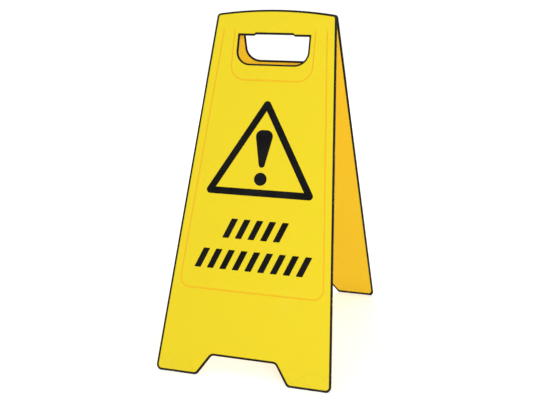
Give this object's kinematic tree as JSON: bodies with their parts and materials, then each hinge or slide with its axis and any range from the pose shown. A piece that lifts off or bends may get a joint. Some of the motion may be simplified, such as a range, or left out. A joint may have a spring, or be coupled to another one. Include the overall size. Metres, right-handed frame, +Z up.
{
  "type": "a-frame sign",
  "caption": "Folding A-frame floor sign: hinged tapered panels with a carrying slot, arched feet, a warning triangle and rows of slanted stripes.",
  "frame": {"origin": "on the floor, midway between the four feet, under the ridge", "axes": "+Z up, +X along the hinge line, the front panel faces -Y"},
  "size_m": [0.3002, 0.4284, 0.5842],
  "materials": {
    "yellow_plastic": "satin",
    "black_film": "satin",
    "steel": "satin"
  },
  "bodies": {
    "front_leaf": {"front_panel": "yellow_plastic", "left_hinge_pin": "steel", "right_hinge_pin": "steel", "left_pin_clip": "steel", "right_pin_clip": "steel", "front_triangle": "black_film", "front_exclamation_bar": "black_film", "front_exclamation_dot": "black_film", "front_upper_stripes": "black_film", "front_lower_stripes": "black_film"},
    "rear_leaf": {"rear_panel": "yellow_plastic", "rear_triangle": "black_film", "rear_exclamation_bar": "black_film", "rear_exclamation_dot": "black_film", "rear_upper_stripes": "black_film", "rear_lower_stripes": "black_film"}
  },
  "joints": [
    {"name": "fold", "type": "hinge", "parent": "front_leaf", "child": "rear_leaf", "pos_m": [0, 0, 0.56249], "axis": [-1, 0, 0], "range_deg": [0, 40]}
  ]
}
